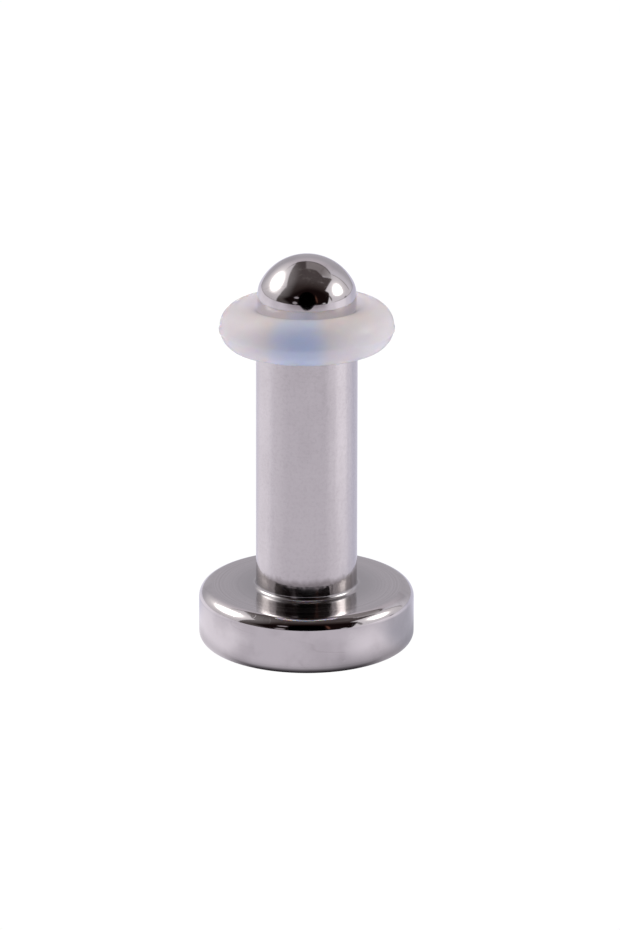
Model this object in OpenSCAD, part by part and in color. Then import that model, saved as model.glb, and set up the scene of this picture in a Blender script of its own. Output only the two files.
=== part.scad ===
// Single-flare ear gauge plug, turned from one bar of surgical steel, with a
// silicone O-ring that seats in a shallow groove behind the ear lobe.
// Origin: centre of the flat front face, on which the plug stands. Z is its axis.

/* [Plug] */
// Overall height, from the front face to the top of the dome
plug_h = 16; // [15.6:0.1:20]
// Diameter of the barrel that the ear lobe wears (4 mm is 6 gauge)
barrel_d = 4; // [3.6:0.1:5]
// Radius of the small fillet where the barrel meets the head
foot_r = 0.18; // [0.05:0.01:0.3]

/* [Head] */
// Diameter of the round head
head_d = 8.5; // [7.5:0.1:12]
// Thickness of the head
head_h = 2.3; // [1.6:0.1:3]
// Rounding of the rim behind the head, on the side of the barrel
rim_back_r = 0.5; // [0.1:0.05:0.7]
// Rounding of the rim at the front face
rim_front_r = 0.4; // [0.1:0.05:0.7]

/* [Insertion end] */
// How much the insertion end is thinner than the barrel, on the radius
end_step = 0.06; // [0:0.01:0.15]
// Radius of the crown as a share of the insertion end's radius, where 1 is a half ball
crown_ratio = 1.07; // [1.02:0.01:1.3]
// Radius of the shoulder as a share of the insertion end's radius
shoulder_ratio = 0.49; // [0.2:0.01:0.5]

/* [O-ring] */
// Thickness of the ring's round section
ring_t = 1.82; // [1.2:0.02:2.1]
// How far the ring leans in its groove, up at the front, in degrees
ring_lean = 4; // [0:0.1:6]
// How far the ring leans up to the right, in degrees
ring_side_lean = 0.5; // [0:0.1:2]
// Depth of the groove under the surface of the barrel
groove_depth = 0.41; // [0.2:0.01:0.7]
// Height of the middle of the groove above the front face
groove_z = 13.09; // [10:0.01:13.3]
// Clearance between the ring and its groove
ring_gap = 0.03; // [0.02:0.01:0.1]

/* [Hidden] */
$fn = 96;

barrel_r = barrel_d / 2;
head_r = head_d / 2;
end_r = barrel_r - end_step;

// The groove is turned with a round tool that is one clearance larger than the ring
ring_r = ring_t / 2;
groove_r = ring_r + ring_gap;
ring_centre_r = barrel_r - groove_depth + groove_r;

// The crown and the shoulder are arcs that meet in one tangent
crown_r = end_r * crown_ratio;
crown_z = plug_h - crown_r;
shoulder_r = end_r * shoulder_ratio;
shoulder_centre_r = end_r - shoulder_r;
shoulder_rise = sqrt(pow(crown_r - shoulder_r, 2) - pow(shoulder_centre_r, 2));
shoulder_z = crown_z + shoulder_rise;

// Half outline of the head, with a quarter round at each rim
module head_outline() {
    square([head_r - rim_back_r, head_h]);
    square([head_r - rim_front_r, head_h / 2]);
    translate([0, rim_front_r])
        square([head_r, head_h - rim_front_r - rim_back_r]);
    translate([head_r - rim_front_r, rim_front_r])
        circle(rim_front_r);
    translate([head_r - rim_back_r, head_h - rim_back_r])
        circle(rim_back_r);
}

// Half outline of the barrel up to the groove, with the fillet at its foot
module barrel_outline() {
    square([barrel_r, groove_z]);
    difference() {
        translate([0, head_h])
            square([barrel_r + foot_r, foot_r]);
        translate([barrel_r + foot_r, head_h + foot_r])
            circle(foot_r);
    }
}

// Half outline of the insertion end: a straight stretch, a shoulder and a crown
module end_outline() {
    translate([0, groove_z])
        square([end_r, shoulder_z - groove_z]);
    translate([shoulder_centre_r, shoulder_z])
        circle(shoulder_r);
    reach = 2 * crown_r;
    translate([0, crown_z])
        intersection() {
            circle(crown_r);
            polygon([
                [0, 0],
                [reach * shoulder_centre_r / shoulder_rise, reach],
                [0, reach]
            ]);
        }
}

// The plug, one solid from the front face to the crown
module plug_body() {
    color("lightsteelblue")
        rotate_extrude()
            difference() {
                union() {
                    head_outline();
                    barrel_outline();
                    end_outline();
                }
                translate([ring_centre_r, groove_z])
                    circle(groove_r);
            }
}

// Half outline of the space that the plug takes inside the ring, one clearance
// larger than the barrel, the groove and the insertion end
module bore_outline() {
    difference() {
        union() {
            translate([0, groove_z - ring_t])
                square([barrel_r + ring_gap, ring_t]);
            translate([0, groove_z])
                square([end_r + ring_gap, ring_t]);
        }
        translate([ring_centre_r, groove_z])
            circle(ring_r);
    }
}

// The O-ring, worn in the groove and taken off by stretching it. It was pushed on
// by hand, so it leans a little, and its soft inner side gives way to the plug.
module o_ring() {
    color("lavender")
        difference() {
            translate([0, 0, groove_z])
                rotate([-ring_lean, -ring_side_lean, 0])
                    rotate_extrude()
                        translate([ring_centre_r, 0])
                            circle(ring_r);
            rotate_extrude()
                bore_outline();
        }
}

plug_body();
o_ring();
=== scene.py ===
"""A single-flare ear gauge plug of surgical steel with its silicone O-ring, standing on its head.

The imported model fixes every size. Lengths are in metres, written as so many MM.
"""

from math import acos, atan2, cos, pi, radians, sin, sqrt, tan

import bpy
from mathutils import Matrix, Vector


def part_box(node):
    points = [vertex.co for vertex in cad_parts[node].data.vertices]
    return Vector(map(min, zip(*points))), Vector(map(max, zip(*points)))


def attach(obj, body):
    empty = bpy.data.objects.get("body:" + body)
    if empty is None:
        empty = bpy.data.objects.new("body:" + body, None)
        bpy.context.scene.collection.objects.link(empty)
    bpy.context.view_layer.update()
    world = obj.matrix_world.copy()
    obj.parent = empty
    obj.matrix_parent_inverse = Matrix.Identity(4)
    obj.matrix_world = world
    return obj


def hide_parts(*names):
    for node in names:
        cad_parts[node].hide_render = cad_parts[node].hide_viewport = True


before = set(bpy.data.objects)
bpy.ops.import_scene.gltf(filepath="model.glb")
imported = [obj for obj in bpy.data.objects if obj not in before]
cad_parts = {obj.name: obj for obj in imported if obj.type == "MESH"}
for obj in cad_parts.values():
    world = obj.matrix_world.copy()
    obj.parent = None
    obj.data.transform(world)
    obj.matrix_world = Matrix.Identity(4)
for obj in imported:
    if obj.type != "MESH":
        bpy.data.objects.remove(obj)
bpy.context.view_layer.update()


# The plug is one piece of surgical steel, turned from a bar: a round head, a straight
# barrel, a groove for the O-ring and a domed end. Its outline is drawn as a lathe hand
# cuts it, from the middle of the front face to the top of the crown, and spun.
MM = 0.001
plug_low, plug_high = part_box("plug_body")
plug_h = (plug_high - plug_low).z
head_r = 4.25 * MM
head_h = 2.3 * MM
rim_front_r = 0.4 * MM
rim_back_r = 0.5 * MM
barrel_r = 2.0 * MM
foot_r = 0.18 * MM
end_r = 1.94 * MM
crown_ratio = 1.07
shoulder_ratio = 0.49
crown_r = end_r * crown_ratio
shoulder_r = end_r * shoulder_ratio
groove_z = 13.09 * MM
groove_depth = 0.41 * MM
ring_r = 0.91 * MM
ring_gap = 0.03 * MM
groove_r = ring_r + ring_gap
groove_centre_r = barrel_r - groove_depth + groove_r
plug_turns = 288
same_place = 1e-6
quarter = pi / 2


def pick_nothing():
    """Leaves object mode with nothing selected."""
    if bpy.context.object and bpy.context.object.mode != "OBJECT":
        bpy.ops.object.mode_set(mode="OBJECT")
    bpy.ops.object.select_all(action="DESELECT")


def start_outline(name, r, z):
    """A new mesh of one vertex at radius r and height z, left in edit mode."""
    pick_nothing()
    bpy.ops.mesh.primitive_plane_add(size=MM, location=(r, 0, z))
    piece = bpy.context.object
    piece.name = piece.data.name = name
    bpy.ops.object.transform_apply(location=True, rotation=True, scale=True)
    bpy.ops.object.mode_set(mode="EDIT")
    bpy.ops.mesh.select_all(action="SELECT")
    bpy.ops.mesh.merge(type="CENTER")
    return piece


def cut_along(dr, dz, passes=1):
    """A straight cut from where the tool is, outwards by dr and upwards by dz."""
    step = (dr / passes, 0, dz / passes)
    for _ in range(passes):
        bpy.ops.mesh.extrude_region_move(TRANSFORM_OT_translate={"value": step})


def cut_round(r, z, turn, steps):
    """A round cut about a centre, by a turn in radians that is positive counter-clockwise."""
    bpy.ops.mesh.spin(steps=steps, angle=turn, center=(r, 0, z), axis=(0, 1, 0))


def spin_whole(turns):
    """Spins the outline about Z into a closed body whose faces point outwards."""
    bpy.ops.mesh.select_all(action="SELECT")
    bpy.ops.mesh.spin(steps=turns, angle=2 * pi, center=(0, 0, 0), axis=(0, 0, 1))
    bpy.ops.mesh.select_all(action="SELECT")
    bpy.ops.mesh.remove_doubles(threshold=same_place)
    bpy.ops.mesh.normals_make_consistent(inside=False)
    bpy.ops.object.mode_set(mode="OBJECT")


def angle_at(radius):
    """Angle of the groove's round wall, seen from its centre, where the bar has that radius."""
    return acos((groove_centre_r - radius) / groove_r)


# the crown, and the shoulder that runs out in a longer arc down to the straight end
crown_z = plug_h - crown_r
shoulder_centre_r = end_r - shoulder_r
shoulder_rise = sqrt((crown_r - shoulder_r) ** 2 - shoulder_centre_r ** 2)
shoulder_z = crown_z + shoulder_rise
shoulder_turn = atan2(shoulder_rise, shoulder_centre_r)
run_out = radians(7.2)
run_out_r = 2.63 * MM
run_out_z = shoulder_z + (shoulder_r - run_out_r) * sin(run_out)
straight_r = shoulder_centre_r + run_out_r + (shoulder_r - run_out_r) * cos(run_out)

# where the groove's wall leaves the barrel and meets the straight end
groove_low = angle_at(barrel_r)
groove_high = angle_at(straight_r)
groove_low_z = groove_z - groove_r * sin(groove_low)
groove_high_z = groove_z + groove_r * sin(groove_high)

# the front face and its rim, the back of the head, the fillet, the barrel, the groove
# and the insertion end
barrel_z = head_h + foot_r
plug = start_outline("plug", 0, 0)
cut_along(head_r - rim_front_r, 0, passes=6)
cut_round(head_r - rim_front_r, rim_front_r, quarter, steps=16)
cut_along(0, head_h - rim_front_r - rim_back_r, passes=2)
cut_round(head_r - rim_back_r, head_h - rim_back_r, quarter, steps=16)
cut_along(barrel_r + foot_r - (head_r - rim_back_r), 0, passes=4)
cut_round(barrel_r + foot_r, barrel_z, -quarter, steps=10)
cut_along(0, groove_low_z - barrel_z, passes=8)
cut_round(groove_centre_r, groove_z, -(groove_low + groove_high), steps=24)
cut_along(0, run_out_z - groove_high_z, passes=2)
cut_round(straight_r - run_out_r, run_out_z, run_out, steps=4)
cut_round(shoulder_centre_r, shoulder_z, shoulder_turn - run_out, steps=10)
cut_round(0, crown_z, quarter - shoulder_turn, steps=22)
spin_whole(plug_turns)
bpy.ops.object.shade_smooth_by_angle(angle=radians(25))


class Value:
    """A shader socket that takes part in Python sums, each of which adds its Math node."""

    def __init__(self, tree, socket):
        self.tree = tree
        self.socket = socket

    def node(self, kind, settings=(), inputs=(), out=0):
        """Adds a node: its settings first, then its inputs, by number or name."""
        made = self.tree.nodes.new(kind)
        for key, value in dict(settings).items():
            setattr(made, key, value)
        for key, value in dict(inputs).items():
            if isinstance(value, Value):
                self.tree.links.new(value.socket, made.inputs[key])
            else:
                made.inputs[key].default_value = value
        return Value(self.tree, made.outputs[out])

    def maths(self, operation, *values):
        return self.node("ShaderNodeMath", {"operation": operation}, dict(enumerate(values)))

    def __add__(self, other):
        return self.maths("ADD", self, other)

    def __radd__(self, other):
        return self.maths("ADD", other, self)

    def __sub__(self, other):
        return self.maths("SUBTRACT", self, other)

    def __rsub__(self, other):
        return self.maths("SUBTRACT", other, self)

    def __mul__(self, other):
        return self.maths("MULTIPLY", self, other)

    def __rmul__(self, other):
        return self.maths("MULTIPLY", other, self)

    def __truediv__(self, other):
        return self.maths("DIVIDE", self, other)

    def root(self):
        return self.maths("SQRT", self)

    def unsigned(self):
        return self.maths("ABSOLUTE", self)

    def most(self, other):
        return self.maths("MAXIMUM", self, other)

    def least(self, other):
        return self.maths("MINIMUM", self, other)

    def above(self, low, high):
        """0 where self is under low, 1 where it is over high, and smooth between."""
        return self.node("ShaderNodeMapRange", {"interpolation_type": "SMOOTHSTEP"},
                         {0: self, 1: low, 2: high, 3: 0.0, 4: 1.0})

    def parts(self):
        """The three parts of a vector."""
        split = self.node("ShaderNodeSeparateXYZ", (), {0: self}).socket.node
        return [Value(self.tree, part) for part in split.outputs]

    def vector(self, x, y, z):
        return self.node("ShaderNodeCombineXYZ", (), {0: x, 1: y, 2: z})

    def tint(self, share, colour, other):
        """Mixes from one colour to another by share."""
        return self.node("ShaderNodeMix", {"data_type": "RGBA"},
                         {0: share, 6: colour, 7: other}, out=2)

    def noise(self, scale, detail=2.0, roughness=0.5):
        """Noise from about 0.2 to 0.8, read at the place that self gives."""
        return self.node("ShaderNodeTexNoise", (),
                         {"Vector": self, "Scale": scale, "Detail": detail,
                          "Roughness": roughness})


def new_finish(name):
    """A blank material, its Principled shader and its Object coordinates."""
    material = bpy.data.materials.new(name)
    material.use_nodes = True
    shader = material.node_tree.nodes["Principled BSDF"]
    coordinates = material.node_tree.nodes.new("ShaderNodeTexCoord")
    return material, shader, Value(material.node_tree, coordinates.outputs["Object"])


def new_steel(name):
    """A blank material as new_finish gives it, with its shader made metal."""
    material, shader, place = new_finish(name)
    shader.inputs["Metallic"].default_value = 1
    return material, shader, place


def feed(value, shader, socket):
    value.tree.links.new(value.socket, shader.inputs[socket])


def relief(shader, height, depth):
    """Bumps the shader by a height from 0 to 1 that is depth metres deep."""
    bump = height.node("ShaderNodeBump", (), {"Strength": 1.0, "Distance": depth,
                                              "Height": height})
    feed(bump, shader, "Normal")


def mix_surface(share, main, other):
    """Makes the surface a mix of two shaders, with a share of the second."""
    both = main.node("ShaderNodeMixShader", (), {0: share, 1: main, 2: other})
    feed(both, main.tree.nodes["Material Output"], "Surface")


def streaks(place, across, along, detail, roughness=0.5):
    """Noise with so many grains a metre across the plug's axis and so many along it."""
    x, y, z = place.parts()
    return place.vector(x * across, y * across, z * along).noise(1.0, detail, roughness)


STEEL = (0.62, 0.6, 0.605, 1)
STEEL_WORN = (0.55, 0.53, 0.535, 1)
STEEL_HAIRLINE = (0.42, 0.4, 0.4, 1)
# painted shade for the back of the head close to the barrel
STEEL_INNER_SHADE = (0.48, 0.47, 0.475, 1)
# painted shade for the barrel's foot next to the head
STEEL_FOOT_SHADE = (0.32, 0.3, 0.3, 1)


def mirror_steel():
    """Buffed to a mirror: faint polishing haze, a few short hairlines and a few pits."""
    material, shader, place = new_steel("mirror_steel")
    haze = place.noise(900.0, 3.0)
    grain = streaks(place, 700.0, 5000.0, 2.0)

    # a hairline runs where a stretched noise crosses its middle, and only in the haze
    from_middle = (streaks(place, 250.0, 1600.0, 0.0) - 0.5).unsigned()
    sharpness = 60
    hairlines = (1 - from_middle * sharpness).most(0.0) * haze.above(0.5, 0.6)
    pits = place.noise(2500.0, 0.0).above(0.735, 0.76)

    finish = place.tint(haze.above(0.4, 0.7), STEEL, STEEL_WORN)
    feed(place.tint(hairlines * 0.3, finish, STEEL_HAIRLINE), shader, "Base Color")
    feed(0.06 + 0.06 * haze.above(0.4, 0.8), shader, "Roughness")
    relief(shader, 1 - pits * 0.8 + grain * 0.06 - hairlines * 0.2, depth=0.0015 * MM)
    return material


def barrel_steel():
    """Ground round the bar, then buffed, with worn patches and a painted shade on its foot with a
    ragged edge.
    """
    material, shader, place = new_steel("barrel_steel")
    rings = streaks(place, 120.0, 9000.0, 3.0, 0.7)
    patches = streaks(place, 900.0, 500.0, 3.0, 0.6)
    strokes = streaks(place, 3000.0, 1500.0, 2.0, 0.6)
    grain = place.noise(8000.0, 2.0)
    worn = 0.45 * patches.above(0.4, 0.7) + 0.15 * rings.above(0.4, 0.75)
    worn = worn + 0.4 * grain.above(0.45, 0.7)
    finish = place.tint(worn, STEEL, STEEL_WORN)

    # painted shade darkens the barrel's foot next to the head, and the strokes leave its edge
    # uneven
    ragged_z = place.parts()[2] + (strokes - 0.5) * 0.3 * MM
    finish = place.tint(ragged_z.above(2.95 * MM, 3.25 * MM), STEEL_FOOT_SHADE, finish)

    feed(finish, shader, "Base Color")
    feed(0.07 + 0.06 * patches.above(0.4, 0.7), shader, "Roughness")
    relief(shader, rings * 0.1 + strokes, depth=0.009 * MM)

    # a little of a second shader draws each light out along the barrel
    brushed = place.node("ShaderNodeBsdfPrincipled", (), {
        "Base Color": STEEL, "Metallic": 1.0, "Roughness": 0.5, "Anisotropic": 0.9})
    brushed_share = 0.03
    mix_surface(brushed_share, Value(place.tree, shader.outputs["BSDF"]), brushed)
    return material


def turned_steel():
    """The back of the head and the fillet, with the tool's fine concentric marks."""
    material, shader, place = new_steel("turned_steel")
    x, y, _ = place.parts()
    radius = (x * x + y * y).root()
    marks = place.vector(radius * 16000.0, x * 60.0, y * 60.0).noise(1.0, 3.0, 0.7)
    broad = place.vector(radius * 3500.0, x * 150.0, y * 150.0).noise(1.0, 2.0)
    finish = place.tint(marks.above(0.4, 0.7), STEEL, STEEL_WORN)
    # painted shade darkens the back of the head and the fillet close to the barrel
    finish = place.tint(radius.above(2.1 * MM, 3.4 * MM), STEEL_INNER_SHADE, finish)
    feed(finish, shader, "Base Color")
    feed(0.08 + 0.09 * broad.above(0.35, 0.7), shader, "Roughness")
    relief(shader, marks * 0.5 + broad * 0.5, depth=0.0012 * MM)
    return material


def finish_faces(piece, material, wanted):
    """Gives a material to the faces whose middle, by radius and height, is wanted."""
    piece.data.materials.append(material)
    slot = len(piece.data.materials) - 1
    for face in piece.data.polygons:
        if wanted(face.center.xy.length, face.center.z):
            face.material_index = slot


def anywhere(r, z):
    return True


def on_barrel(r, z):
    return barrel_z < z < groove_z


def behind_head(r, z):
    """The flat back of the head, inside its rounded rim, and the fillet."""
    return r < head_r - rim_back_r and head_h - same_place < z < barrel_z


finish_faces(plug, mirror_steel(), anywhere)
finish_faces(plug, barrel_steel(), on_barrel)
finish_faces(plug, turned_steel(), behind_head)
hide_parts("plug_body")
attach(plug, "root")


# The O-ring is moulded silicone, milky and translucent, with the mould's fine parting
# line round its outside. It was stretched over the dome by hand, so it leans a little,
# and its soft inner side is pressed flat against the steel.
ring_lean = radians(4)
ring_side_lean = radians(0.5)
ring_turns = 240
ring_sides = 52
parting_turn = 2 * pi / ring_sides
parting_w = 0.1 * MM
parting_rise = 0.03 * MM
parting_r = groove_centre_r + ring_r * cos(parting_turn)
parting_z = -ring_r * sin(parting_turn)

pick_nothing()
bpy.ops.mesh.primitive_torus_add(major_radius=groove_centre_r, minor_radius=ring_r,
                                 major_segments=ring_turns, minor_segments=ring_sides)
ring = bpy.context.object
ring.name = ring.data.name = "ring"


def on_parting(point, least_r):
    """Whether a point lies on the outer side of the ring, at the parting line's height."""
    return abs(point.z - parting_z) < same_place and point.xy.length > least_r


# one edge round the outside is bevelled, and the middle of the bevel is drawn outwards
bpy.ops.object.mode_set(mode="EDIT")
bpy.ops.mesh.select_all(action="DESELECT")
bpy.ops.object.mode_set(mode="OBJECT")
for edge in ring.data.edges:
    ends = [ring.data.vertices[i].co for i in edge.vertices]
    edge.select = all(on_parting(end, parting_r - same_place) for end in ends)
bpy.ops.object.mode_set(mode="EDIT")
bpy.ops.mesh.select_mode(type="EDGE")
bpy.ops.mesh.bevel(offset=parting_w / 2, segments=2, affect="EDGES")
bpy.ops.mesh.select_mode(type="VERT")
bpy.ops.object.mode_set(mode="OBJECT")
for point in ring.data.vertices:
    point.select = on_parting(point.co, groove_centre_r)
bpy.ops.object.mode_set(mode="EDIT")
swell = 1 + parting_rise / parting_r
bpy.ops.transform.resize(value=(swell, swell, 1), center_override=(0, 0, 0))
bpy.ops.mesh.select_all(action="SELECT")
bpy.ops.object.mode_set(mode="OBJECT")
ring.rotation_euler = (-ring_lean, -ring_side_lean, 0)
ring.location = (0, 0, groove_z)
bpy.ops.object.transform_apply(location=True, rotation=True, scale=True)

# the space that the plug takes inside the ring, spun as the plug is
core = start_outline("core", 0, groove_z - 2 * ring_r)
low_turn = acos((groove_centre_r - barrel_r - ring_gap) / ring_r)
high_turn = acos((groove_centre_r - end_r - ring_gap) / ring_r)
cut_along(barrel_r + ring_gap, 0)
cut_along(0, 2 * ring_r - ring_r * sin(low_turn))
cut_round(groove_centre_r, groove_z, -(low_turn + high_turn), steps=20)
cut_along(0, 2 * ring_r - ring_r * sin(high_turn))
cut_along(-end_r - ring_gap, 0)
spin_whole(ring_turns)
pick_nothing()
bpy.context.view_layer.objects.active = ring
ring.select_set(True)
bore = ring.modifiers.new("bore", "BOOLEAN")
bore.object = core
bore.operation = "DIFFERENCE"
bore.solver = "EXACT"
bpy.ops.object.modifier_apply(modifier="bore")
bpy.data.objects.remove(core)
bpy.ops.object.shade_smooth_by_angle(angle=radians(35))

SILICONE_IOR = 1.41
CLEAR = (0.94, 0.88, 0.87, 1)
CLEAR_PALE = (0.97, 0.92, 0.91, 1)
# painted blue of light scattered in the silicone before the dark steel
CLEAR_SCATTER_BLUE = (0.9, 0.88, 0.98, 1)
MILK = (0.75, 0.74, 0.76, 1)
MILK_PALE = (0.81, 0.79, 0.81, 1)
MILK_SCATTER_BLUE = (0.65, 0.73, 0.94, 1)


def clear_silicone():
    """Milky clear silicone: the clear half lets the steel show dimly, the milk half glows."""
    material, milk, place = new_finish("clear_silicone")
    clear = place.node("ShaderNodeBsdfPrincipled", (),
                       {"IOR": SILICONE_IOR, "Transmission Weight": 1.0})
    clear_shader = clear.socket.node
    cloud = place.noise(500.0, 3.0)
    skin = place.noise(6000.0, 2.0)

    # a painted blue cast of light scattered in the milk before the dark steel, at its front and
    # its back, a few degrees round from the middle
    x, y, _ = place.parts()
    ahead = 0.12 * x + 0.99 * y
    scatter_blue = (ahead * ahead / (x * x + y * y)).above(0.83, 0.98)
    tinted = place.tint(scatter_blue, place.tint(cloud, CLEAR, CLEAR_PALE), CLEAR_SCATTER_BLUE)
    feed(tinted, clear_shader, "Base Color")
    tinted = place.tint(scatter_blue, place.tint(cloud, MILK, MILK_PALE), MILK_SCATTER_BLUE)
    feed(tinted, milk, "Base Color")

    for shader, least_rough in ((clear_shader, 0.45), (milk, 0.12)):
        feed(least_rough + 0.1 * skin, shader, "Roughness")
        relief(shader, skin, depth=0.001 * MM)
    milk.inputs["IOR"].default_value = SILICONE_IOR
    milk.inputs["Subsurface Weight"].default_value = 1.0
    milk.inputs["Subsurface Radius"].default_value = (0.4, 0.6, 1.0)
    milk.inputs["Subsurface Scale"].default_value = 1.8 * MM
    milk_share = 0.5
    mix_surface(milk_share, clear, Value(place.tree, milk.outputs["BSDF"]))
    return material


ring.data.materials.clear()
ring.data.materials.append(clear_silicone())
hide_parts("o_ring")
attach(ring, "root")


# The studio that the steel mirrors: pale walls, a dark ceiling, the dark room behind the
# camera with the black lens in front of it, and a soft light at each side.
studio = bpy.data.worlds.new("studio")
bpy.context.scene.world = studio


def fresh_nodes(owner, kind):
    """Clears the nodes of a world or a material and gives its coordinates of that kind."""
    owner.use_nodes = True
    owner.node_tree.nodes.clear()
    coordinates = owner.node_tree.nodes.new("ShaderNodeTexCoord")
    return Value(owner.node_tree, coordinates.outputs[kind])


def towards(azimuth, elevation):
    """Unit vector; azimuth 0 is towards the camera's side and 90 to the right."""
    a = radians(azimuth)
    e = radians(elevation)
    return Vector((sin(a) * cos(e), -cos(a) * cos(e), sin(e)))


def dot(look, vector):
    return look.node("ShaderNodeVectorMath", {"operation": "DOT_PRODUCT"},
                     {0: look, 1: tuple(vector)}, out="Value")


def patch(look, azimuth, elevation, half_w, half_h, inner, outer):
    """A soft oval round a direction: 1 inside, 0 past outer times its half sizes in degrees."""
    ahead = towards(azimuth, elevation)
    side = ahead.cross(Vector((0, 0, 1))).normalized()
    above = side.cross(ahead)
    least_depth = 0.001
    depth = dot(look, ahead).most(least_depth)
    across = dot(look, side) / depth / tan(radians(half_w))
    up = dot(look, above) / depth / tan(radians(half_h))
    return 1 - (across * across + up * up).root().above(inner, outer)


def edge_line(right, front, turn):
    """Distance inside a straight edge of the ceiling's plan, left of the way it runs."""
    across = -sin(radians(turn))
    along = cos(radians(turn))
    return (right_of - right) * across + (front_of - front) * along


def line_at(value, middle):
    """1 on a narrow line where a value in degrees has its middle, and 0 away from it."""
    return 1 - (value - middle).unsigned().above(0.3, 1.7)


def lay_ovals(sky, rows):
    """Lays soft ovals on the sky: each row is a patch, its share and its colour."""
    for *oval, share, colour in rows:
        sky = look.tint(patch(look, *oval) * share, sky, colour)
    return sky


look = fresh_nodes(studio, "Generated")
dx, dy, dz = look.parts()
elevation = look.maths("ARCSINE", dz) * (180 / pi)
azimuth = look.maths("ARCTAN2", dx, 0 - dy) * (180 / pi)
behind = azimuth.unsigned()
to_right = azimuth.above(0, 10)

# the ceiling as a flat plan: how far right and how far towards the camera
plan_scale = (1 + dz).most(0.05)
right_of = dx / plan_scale
front_of = (0 - dy) / plan_scale

# the walls all round, then the backdrop behind the plug and the panels above it
WALL = (0.96, 0.91, 0.95, 1)
RIGHT_WALL = (1.05, 1.0, 1.05, 1)
BACKDROP = (0.66, 0.63, 0.68, 1)
BACKDROP_TOP = (0.85, 0.78, 0.84, 1)
BACKDROP_RIGHT = (0.95, 0.91, 0.98, 1)
WHITE_HIGH = (0.88, 0.83, 0.89, 1)
GREY_PANEL = (0.38, 0.34, 0.345, 1)
PALE_PANEL = (0.72, 0.68, 0.69, 1)
sky = look.tint(to_right, WALL, RIGHT_WALL)
sky = look.tint(to_right * azimuth.above(96, 118), sky, WALL)
sky = look.tint(behind.above(120, 126) * to_right, sky, BACKDROP_RIGHT)
backdrop = look.tint(elevation.above(22, 42), BACKDROP, BACKDROP_TOP)
sky = look.tint(behind.above(128, 150), sky, backdrop)
high = look.tint(edge_line(-0.1, -0.5, -82).above(-0.02, 0.06), WHITE_HIGH, GREY_PANEL)
high = look.tint(right_of.above(0.2, 0.38), high, PALE_PANEL)
sky = look.tint(elevation.above(45, 47) * behind.above(95, 112), sky, high)

# the thin top line of the backdrop and its right corner
CEILING = (0.122, 0.1, 0.1, 1)
sky = look.tint(line_at(elevation, 46) * behind.above(118, 128), sky, CEILING)
corner = line_at(azimuth, 123) * (1 - elevation.above(40, 46)) * elevation.above(4, 14)
sky = look.tint(corner, sky, GREY_PANEL)

# the soft light at each side: azimuth, elevation, half width, half height, where its
# edge begins and ends, share and colour
HALO = (1.3, 1.24, 1.26, 1)
GLOW = (1.9, 1.8, 1.78, 1)
SOFTBOX = (8, 7.8, 7.6, 1)
sky = lay_ovals(sky, (
    (-112, 36, 46, 34, 0.1, 1.0, 1, HALO),
    (-111, 35, 30, 22, 0.2, 1.1, 1, GLOW),
    (-110, 35, 16, 12, 0.2, 1.6, 1, SOFTBOX),
    (91, 30, 32, 26, 0.1, 1.0, 1, HALO),
    (90, 28, 20, 17, 0.2, 1.1, 1, GLOW),
    (90, 28, 11, 9, 0.2, 1.6, 1, SOFTBOX),
))

# the dark ceiling: its left side with a wing, its right side with a step, its back with
# a notch, and a tongue that runs back to the backdrop
wing = edge_line(-0.375, 0.122, 167.8) * -1
step = edge_line(0.464, 0.236, 56).least(front_of - 0.23)
notch = edge_line(0.128, -0.152, 42.2).most(edge_line(0.256, -0.036, -32.7))
left_edge = edge_line(-0.375, 0.122, -64.2)
left_side = left_edge.most(wing)
right_side = edge_line(0.404, -0.131, 95.5).most(step)
back_side = edge_line(-0.02, -0.175, 8.8).least(notch)
tongue = left_edge.least(-0.01 - right_of).least(front_of + 0.42)
dark_ceiling = left_side.least(right_side).least(back_side).most(tongue)

# the ceiling is spotted, darker towards the camera and darkest over the room behind it
CEILING_SPOTS = (0.19, 0.165, 0.16, 1)
CEILING_FRONT = (0.05, 0.035, 0.033, 1)
ROOM = (0.012, 0.006, 0.006, 1)
blotch = look.noise(5.0, 3.0, 0.6)
ceiling = look.tint(blotch.above(0.52, 0.68), CEILING, CEILING_SPOTS)
ceiling = look.tint(front_of.above(0.05, 0.27), ceiling, CEILING_FRONT)
ceiling = look.tint((front_of + 0.2 * right_of.least(0)).above(0.22, 0.33), ceiling, ROOM)
ceiling = look.tint((-0.55 - right_of).above(0.0, 0.2) * 0.6, ceiling, CEILING_SPOTS)
sky = look.tint(dark_ceiling.above(-0.012, 0.012), sky, ceiling)

# the left light spreads faintly over the ceiling too
sky = lay_ovals(sky, ((-105, 40, 50, 40, 0.3, 1.0, 0.2, HALO),))

# the line where the table ends, and the small things round the camera and at the right
DIM_PANEL = (0.5, 0.45, 0.48, 1)
WHITE_PANEL = (1.1, 1.05, 1.1, 1)
BROWN_STRIP = (0.16, 0.07, 0.05, 1)
BLACK = (0, 0, 0, 1)
horizon = elevation.above(-2, -1) * (1 - elevation.above(0, 1.5)) * behind.above(55, 75)
sky = look.tint(horizon * 0.6, sky, GREY_PANEL)
sky = lay_ovals(sky, (
    (60, 20, 3, 18, 0.5, 1.0, 0.8, CEILING),
    (101, 1, 5, 3, 0.4, 1.0, 1, CEILING),
    (-27, 33, 6, 5, 0.7, 1.1, 1, DIM_PANEL),
    (-28, 8, 6, 7, 0.7, 1.1, 1, DIM_PANEL),
    (24, 24, 2, 20, 0.5, 1.0, 1, BROWN_STRIP),
    (40, 3, 5, 3, 0.4, 1.0, 1, WHITE_PANEL),
    (0, 28, 20, 23, 0.9, 1.0, 1, BLACK),
))
lens_oval = (0, 9, 21, 22, 0.93, 1.0)
studio_strength = 0.8
sky = look.tint(patch(look, *lens_oval), sky, BLACK)
shine = look.node("ShaderNodeBackground", (), {"Color": sky, "Strength": studio_strength})
feed(shine, studio.node_tree.nodes.new("ShaderNodeOutputWorld"), "Surface")
bpy.context.scene.view_settings.view_transform = "Standard"


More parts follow.
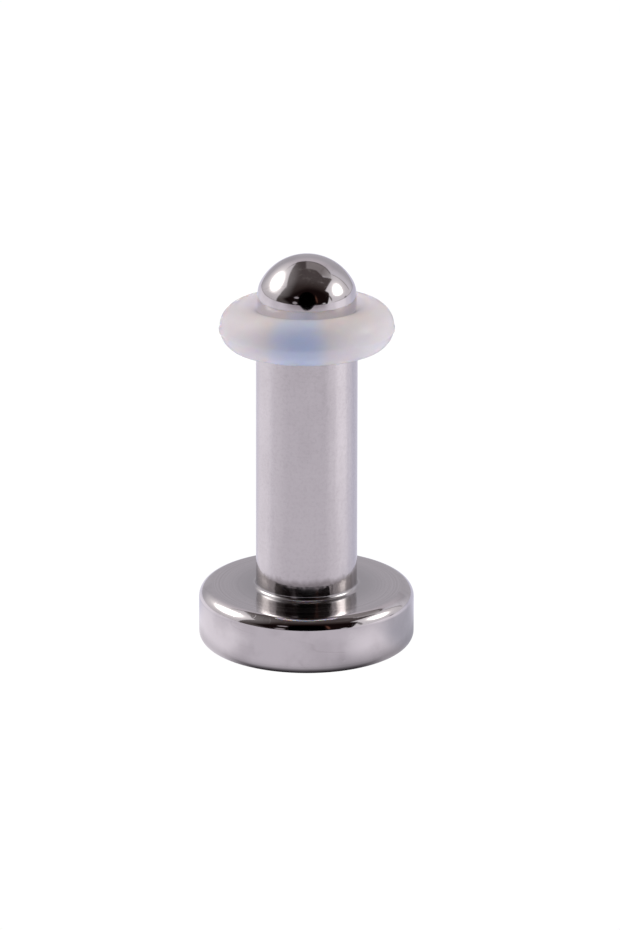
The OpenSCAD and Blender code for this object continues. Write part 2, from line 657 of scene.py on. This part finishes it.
def soft_light(name, place, toward, size, watts, colour):
    """A round soft light; the sky above and the table hold its mirror image."""
    made = bpy.data.lights.new(name, "AREA")
    made.shape = "DISK"
    made.size = size
    made.energy = watts
    made.color = colour
    lamp = bpy.data.objects.new(name, made)
    bpy.context.scene.collection.objects.link(lamp)
    lamp.location = place
    lamp.rotation_euler = (-toward).to_track_quat("Z", "Y").to_euler()
    lamp.visible_camera = False
    lamp.visible_glossy = False


WARM = (1.0, 0.88, 0.78)
COOL = (0.95, 0.95, 1.0)
lamp_away = 300 * MM
lamp_size = 200 * MM
left_way = towards(-112, 52)
right_way = towards(90, 50)
table_top = Vector((0, 0, 0.5 * MM))
up_way = Vector((0, 0, 1))
soft_light("left_light", left_way * lamp_away, -left_way, lamp_size, watts=0.36, colour=WARM)
soft_light("right_light", right_way * lamp_away, -right_way, lamp_size, watts=0.4, colour=WARM)
soft_light("table_light", table_top, up_way, 2 * lamp_size, watts=0.24, colour=COOL)


# The table is a white sheet that glows. In the steel it shows painted light and shade:
# painted shade of the camera towards it, painted pools of light under each soft light and
# painted shadow where the head stands. The lens is painted as it hangs before its far part.
table_size = 1.2
seen_white = 1.02
lens_seen_from = (0, 0, 15 * MM)
TABLE_SEEN = (seen_white, seen_white, seen_white, 1)
FRONT_GLOW = (0.725, 0.68, 0.745, 1)
BACK_GLOW = (0.7, 0.68, 0.8, 1)
FAR_FRONT = (0.38, 0.33, 0.37, 1)
LEFT_GLOW = (1.02, 0.965, 1.04, 1)
RIGHT_GLOW = (1.1, 1.04, 1.12, 1)
RIGHT_SHADE = (0.53, 0.52, 0.59, 1)
HEAD_SHADE = (0.3, 0.28, 0.31, 1)
CONTACT_SHADE = (0.03, 0.025, 0.03, 1)

pick_nothing()
bpy.ops.mesh.primitive_plane_add(size=table_size)
table = bpy.context.object
table.name = "table"
paper = bpy.data.materials.new("white_paper")
spot = fresh_nodes(paper, "Object")


def unit(arrow):
    return arrow.node("ShaderNodeVectorMath", {"operation": "NORMALIZE"}, {0: arrow})


def from_axis(low, high):
    """0 nearer to the plug's axis than low millimetres, 1 past high, and smooth between."""
    return reach.above(low * MM, high * MM)


# how far a spot is from the plug's axis, and how far it lies in a direction
sx, sy, _ = spot.parts()
reach = (sx * sx + sy * sy).root()
toward = unit(spot)
to_front = dot(toward, (0, -1, 0))
to_left_light = dot(toward, (-0.927, 0.375, 0))
to_right_light = dot(toward, (0.9945, -0.1045, 0))

# the painted pool of light of each soft light, further out and close to the head
near = 1 - from_axis(7, 11)
far_left = 0.4 * to_left_light.above(0.3, 0.9) + 0.6 * to_left_light.above(0.82, 0.99)
far_left = far_left * (1 - near)
far_right = 0.45 * to_right_light.above(0.7, 0.93) + 0.55 * to_right_light.above(0.93, 0.998)
far_right = far_right * (1 - near) * (0.6 + 0.4 * from_axis(12, 27))
near_left = dot(toward, (-1, -0.09, 0)).above(0.72, 0.98) * near
near_right = dot(toward, (0.87, -0.49, 0)).above(0.8, 1.0) * near

# painted shade at the right, far in front, close to the head and right where it stands
right_shade = dot(toward, (1, 0.04, 0)).above(0.82, 1.0) * (1 - from_axis(6.5, 12.5))
far_front = to_front.above(0.5, 0.9) * from_axis(25, 140)
head_shade = dot(toward, (0.66, -0.75, 0)).above(0.8, 0.97) * (1 - from_axis(4.6, 6.8))
lit = 0.75 * from_axis(4.05, 4.6) + 0.25 * from_axis(4.5, 5.6)
lit = lit.most(0.8 - 0.8 * to_front.above(0.6, 0.93))
from_crown = spot.node("ShaderNodeVectorMath", {"operation": "SUBTRACT"},
                       {0: spot, 1: lens_seen_from})
lens_share = patch(unit(from_crown), *lens_oval)

# the steel mirrors all this, and the camera itself sees a white table
mirrored = spot.tint(to_front.above(-0.6, 0.4), BACK_GLOW, FRONT_GLOW)
mirrored = spot.tint(far_front * 0.75, mirrored, FAR_FRONT)
mirrored = spot.tint(far_left.most(near_left), mirrored, LEFT_GLOW)
mirrored = spot.tint(far_right.most(near_right * 0.7), mirrored, RIGHT_GLOW)
mirrored = spot.tint(right_shade, mirrored, RIGHT_SHADE)
mirrored = spot.tint(lens_share, mirrored, BLACK)
mirrored = spot.tint(head_shade * 0.6, mirrored, HEAD_SHADE)
mirrored = spot.tint(lit, CONTACT_SHADE, mirrored)
camera_ray = spot.node("ShaderNodeLightPath")
shade = spot.tint(camera_ray, mirrored, TABLE_SEEN)
glow = spot.node("ShaderNodeEmission", (), {"Color": shade, "Strength": 1.0})
feed(glow, paper.node_tree.nodes.new("ShaderNodeOutputMaterial"), "Surface")
table.data.materials.append(paper)


# The camera looks down on the plug from the front, half a metre away. The aim is the
# point of the plug's axis whose place in the photograph is known in pixels.
photo_w, photo_h = 620, 930
camera_tilt = radians(19.7)
camera_roll = radians(0.1)
distance = 500 * MM
aim = Vector((0, 0, 8 * MM))
aim_px = Vector((306.7, 448.2))
px_per_mm = 25.36
sensor = 36
furthest_seen = 10

back = Vector((0, -cos(camera_tilt), sin(camera_tilt)))
camera_data = bpy.data.cameras.new("camera")
camera = bpy.data.objects.new("camera", camera_data)
bpy.context.scene.collection.objects.link(camera)
camera_data.lens = px_per_mm / MM * distance / photo_h * sensor
camera_data.sensor_width = sensor
camera_data.clip_start = distance / 100
camera_data.clip_end = furthest_seen
turn = back.to_track_quat("Z", "Y").to_matrix() @ Matrix.Rotation(camera_roll, 3, "Z")
right, up = turn.col[0], turn.col[1]
off_px = aim_px - Vector((photo_w / 2, photo_h / 2))
off = (-right * off_px.x + up * off_px.y) * MM / px_per_mm
camera.matrix_world = Matrix.Translation(aim + back * distance + off) @ turn.to_4x4()
bpy.context.scene.camera = camera
